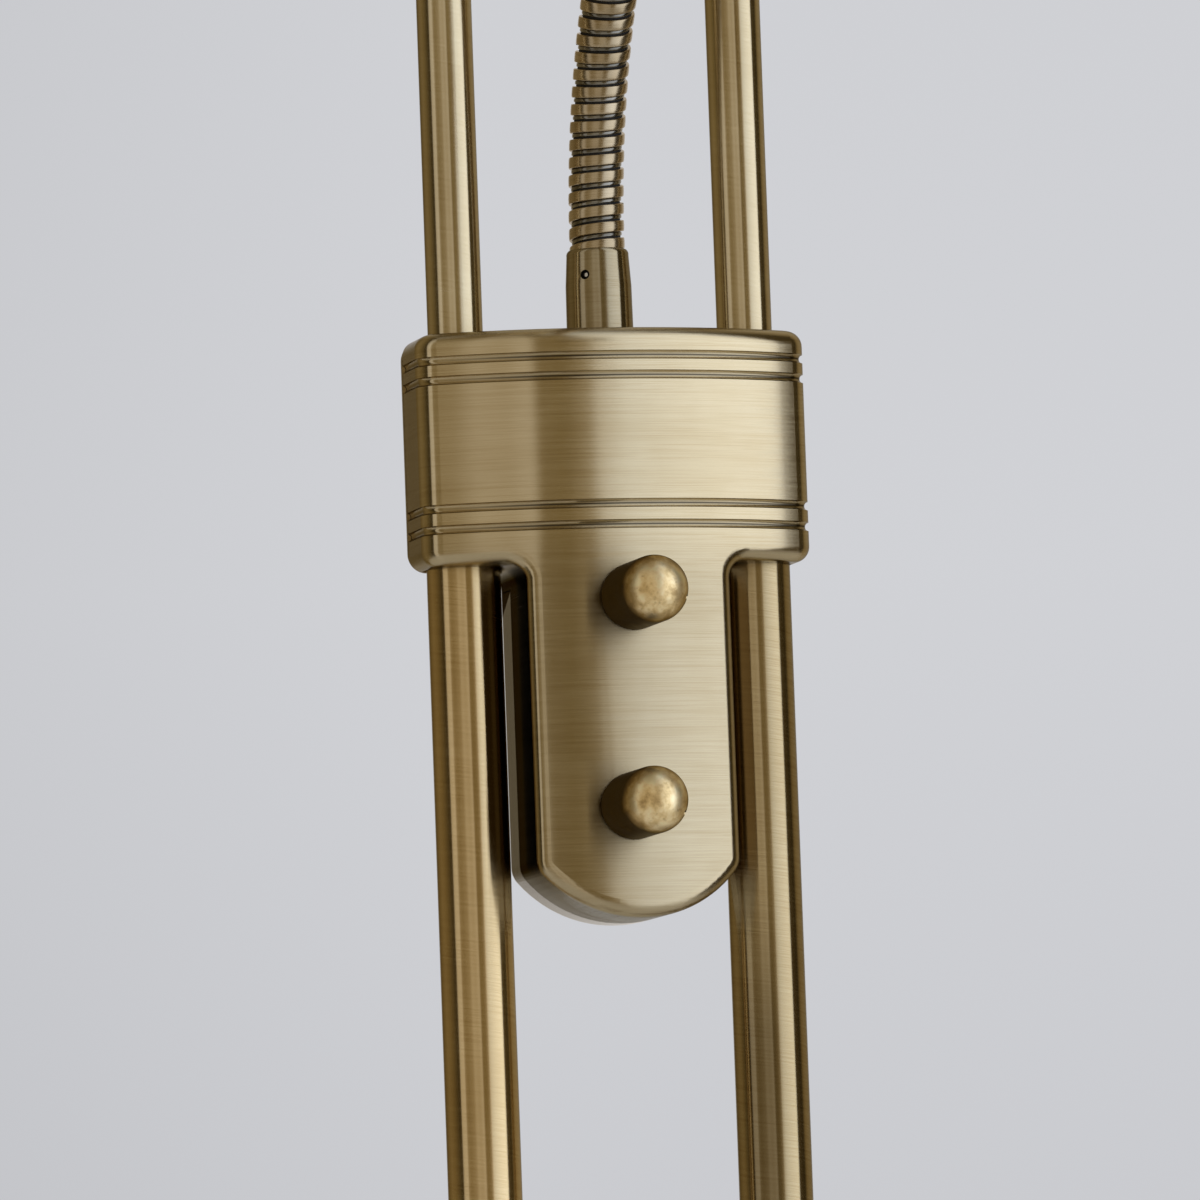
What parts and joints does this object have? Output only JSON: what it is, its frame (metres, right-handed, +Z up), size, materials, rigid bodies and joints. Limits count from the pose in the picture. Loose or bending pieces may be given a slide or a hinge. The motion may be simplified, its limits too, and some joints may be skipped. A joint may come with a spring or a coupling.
{
  "type": "pharmacy floor lamp",
  "caption": "Twin-pole brass floor lamp with a round weighted base, a two-knob dimmer housing, a flexible reading arm and an uplighter bowl.",
  "frame": {"origin": "on the floor, at the middle of the round base", "axes": "+Z up along the poles, -Y to the front where the knobs face, X across the two poles"},
  "size_m": [0.2734, 0.4562, 1.7895],
  "materials": {
    "antique_brass": "antiqued and brushed, lacquered",
    "hose_brass": "antiqued strip, brushed round the hose",
    "cast_weight": "as cast",
    "black_rubber": "matt",
    "plated_steel": "bright zinc plate",
    "cast_bridge": "as cast",
    "black_plastic": "moulded",
    "board_laminate": "laminate",
    "white_ceramic": "unglazed",
    "clear_glass": "polished",
    "bright_aluminium": "spun, bright"
  },
  "bodies": {
    "stand": {"base_cover": "antique_brass", "base_weight": "cast_weight", "base_pad": "black_rubber", "base_fixings": "plated_steel", "base_sockets": "antique_brass", "cord_grommet": "black_rubber", "lower_pole_left": "antique_brass", "lower_pole_right": "antique_brass", "upper_pole_left": "antique_brass", "upper_pole_right": "antique_brass", "front_cover": "antique_brass", "rear_cover": "antique_brass", "cover_screws": "plated_steel", "pole_bridge": "cast_bridge", "bridge_grub_screws": "plated_steel", "dimmers": "black_plastic", "dimmer_nuts": "plated_steel", "dimmer_board": "board_laminate", "terminal_block": "black_plastic", "arm_nipple": "plated_steel", "m10_nuts": "plated_steel", "arm_ferrule": "antique_brass", "ferrule_screw": "plated_steel", "arm_link_01": "hose_brass", "crown_bridge": "antique_brass", "crown_nipple": "plated_steel", "crown_cap_nut": "antique_brass", "bowl_cup": "antique_brass", "uplighter_bowl": "antique_brass", "lamp_bracket": "plated_steel", "lampholders": "white_ceramic", "linear_lamp": "clear_glass", "safety_glass": "clear_glass", "glass_clips": "plated_steel"},
    "upper_dimmer_knob": {"upper_knob": "antique_brass", "upper_dimmer_shaft": "plated_steel"},
    "lower_dimmer_knob": {"lower_knob": "antique_brass", "lower_dimmer_shaft": "plated_steel"},
    "hose_link_02": {"arm_link_02": "hose_brass"},
    "hose_link_03": {"arm_link_03": "hose_brass"},
    "hose_link_04": {"arm_link_04": "hose_brass"},
    "hose_link_05": {"arm_link_05": "hose_brass"},
    "hose_link_06": {"arm_link_06": "hose_brass"},
    "hose_link_07": {"arm_link_07": "hose_brass"},
    "hose_link_08": {"arm_link_08": "hose_brass"},
    "hose_link_09": {"arm_link_09": "hose_brass"},
    "hose_link_10": {"arm_link_10": "hose_brass"},
    "hose_link_11": {"arm_link_11": "hose_brass"},
    "hose_link_12": {"arm_link_12": "hose_brass", "arm_end_ferrule": "antique_brass", "knuckle_fork": "antique_brass", "knuckle_pin": "antique_brass", "knuckle_nut": "antique_brass"},
    "reading_head": {"shade_eye": "antique_brass", "shade_cap": "antique_brass", "reading_shade": "antique_brass", "shade_nut": "plated_steel", "capsule_holder": "white_ceramic", "capsule_lamp": "clear_glass", "shade_reflector": "bright_aluminium"}
  },
  "joints": [
    {"name": "arm_bend_1", "type": "hinge", "parent": "stand", "child": "hose_link_02", "pos_m": [0.00043, -0.0027, 1.19631], "axis": [0.9877, 0.1564, 0], "range_deg": [-13.5, 5]},
    {"name": "arm_sway_1", "type": "hinge", "parent": "hose_link_02", "child": "hose_link_03", "pos_m": [0.00224, -0.01413, 1.22838], "axis": [0.1385, -0.8746, -0.4646], "range_deg": [-9, 9]},
    {"name": "arm_bend_2", "type": "hinge", "parent": "hose_link_03", "child": "hose_link_04", "pos_m": [0.00485, -0.0306, 1.25824], "axis": [0.9877, 0.1564, 0], "range_deg": [-13.5, 5]},
    {"name": "arm_sway_2", "type": "hinge", "parent": "hose_link_04", "child": "hose_link_05", "pos_m": [0.00765, -0.04831, 1.28736], "axis": [0.1314, -0.8298, -0.5424], "range_deg": [-9, 9]},
    {"name": "arm_bend_3", "type": "hinge", "parent": "hose_link_05", "child": "hose_link_06", "pos_m": [0.01065, -0.06723, 1.31568], "axis": [0.9877, 0.1564, 0], "range_deg": [-13.5, 5]},
    {"name": "arm_sway_3", "type": "hinge", "parent": "hose_link_06", "child": "hose_link_07", "pos_m": [0.01383, -0.08734, 1.34316], "axis": [0.1237, -0.781, -0.6122], "range_deg": [-9, 9]},
    {"name": "arm_bend_4", "type": "hinge", "parent": "hose_link_07", "child": "hose_link_08", "pos_m": [0.01725, -0.10891, 1.36945], "axis": [0.9877, 0.1564, 0], "range_deg": [-13.5, 5]},
    {"name": "arm_sway_4", "type": "hinge", "parent": "hose_link_08", "child": "hose_link_09", "pos_m": [0.02166, -0.13673, 1.38851], "axis": [0.0627, -0.396, -0.9161], "range_deg": [-9, 9]},
    {"name": "arm_bend_5", "type": "hinge", "parent": "hose_link_09", "child": "hose_link_10", "pos_m": [0.02684, -0.16944, 1.39627], "axis": [0.9877, 0.1564, 0], "range_deg": [-13.5, 5]},
    {"name": "arm_sway_5", "type": "hinge", "parent": "hose_link_10", "child": "hose_link_11", "pos_m": [0.03211, -0.20272, 1.3917], "axis": [-0.0488, 0.3082, -0.9501], "range_deg": [-9, 9]},
    {"name": "arm_bend_6", "type": "hinge", "parent": "hose_link_11", "child": "hose_link_12", "pos_m": [0.03678, -0.2322, 1.3754], "axis": [0.9877, 0.1564, 0], "range_deg": [-13.5, 5]},
    {"name": "shade_tilt", "type": "hinge", "parent": "hose_link_12", "child": "reading_head", "pos_m": [0.04226, -0.26684, 1.327], "axis": [0.9877, 0.1564, 0], "range_deg": [-35, 55]},
    {"name": "upper_dimmer_turn", "type": "hinge", "parent": "stand", "child": "upper_dimmer_knob", "pos_m": [-0.0003, -0.0408, 1.0918], "axis": [0, -1, 0], "range_deg": [-30, 270]},
    {"name": "lower_dimmer_turn", "type": "hinge", "parent": "stand", "child": "lower_dimmer_knob", "pos_m": [-0.002, -0.0408, 1.0468], "axis": [0, -1, 0], "range_deg": [-30, 270]}
  ]
}
